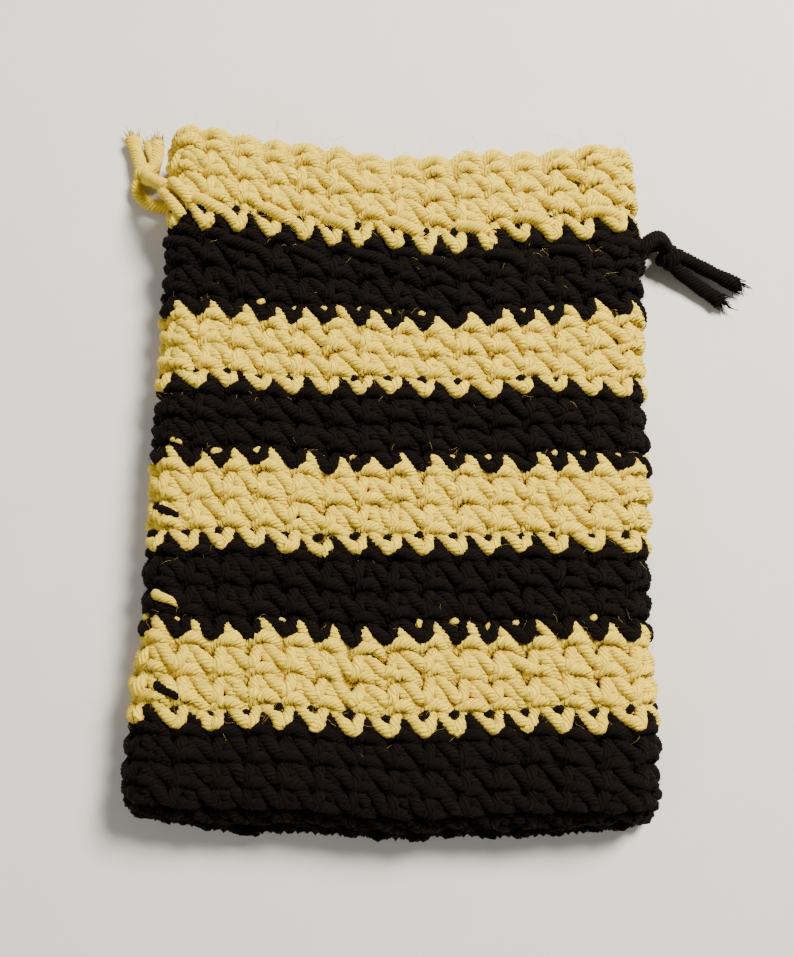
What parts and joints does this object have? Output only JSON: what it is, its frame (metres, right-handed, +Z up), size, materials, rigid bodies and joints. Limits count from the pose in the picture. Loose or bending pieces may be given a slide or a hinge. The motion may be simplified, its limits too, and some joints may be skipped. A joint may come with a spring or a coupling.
{
  "type": "drawstring bag",
  "caption": "Small crocheted drawstring bag for dice, striped in yellow and black yarn, lying flat, with a knotted drawstring pull at each side of its mouth.",
  "frame": {"origin": "under the middle of the flat bag, on the surface that its back lies on", "axes": "+X across the bag towards the black drawstring's pull, +Y along the bag towards its mouth, +Z up from the surface"},
  "size_m": [0.1429, 0.1563, 0.0154],
  "materials": {
    "yellow_yarn": "matte",
    "black_yarn": "matte"
  },
  "bodies": {
    "root": {"foot_stripe_black": "black_yarn", "stripe_2_yellow": "yellow_yarn", "stripe_3_black": "black_yarn", "stripe_4_yellow": "yellow_yarn", "stripe_5_black": "black_yarn", "stripe_6_yellow": "yellow_yarn", "stripe_7_black": "black_yarn", "mouth_stripe_yellow": "yellow_yarn", "base_black": "black_yarn", "yarn_join_1": "black_yarn", "yarn_join_2": "yellow_yarn", "yarn_join_3": "black_yarn", "yarn_join_4": "yellow_yarn", "yarn_join_5": "black_yarn", "yarn_join_6": "yellow_yarn", "yarn_join_7": "black_yarn", "yellow_drawstring_held": "yellow_yarn", "black_drawstring_held": "black_yarn"},
    "yellow_pull": {"yellow_strand_front": "yellow_yarn", "yellow_strand_back": "yellow_yarn", "yellow_knot": "yellow_yarn", "yellow_tail_outer": "yellow_yarn", "yellow_tail_inner": "yellow_yarn"},
    "black_pull": {"black_strand_front": "black_yarn", "black_strand_back": "black_yarn", "black_knot": "black_yarn", "black_tail_upper": "black_yarn", "black_tail_lower": "black_yarn"}
  },
  "joints": [
    {"name": "yellow_pull", "type": "slide", "parent": "root", "child": "yellow_pull", "axis": [-0.9848, 0.1736, 0], "range_m": [0, 0.03]},
    {"name": "black_pull", "type": "slide", "parent": "root", "child": "black_pull", "axis": [0.9948, 0.1023, 0], "range_m": [0, 0.03]}
  ],
  "couplings": [
    {"joint": "black_pull", "follows": "yellow_pull", "ratio": 1}
  ]
}
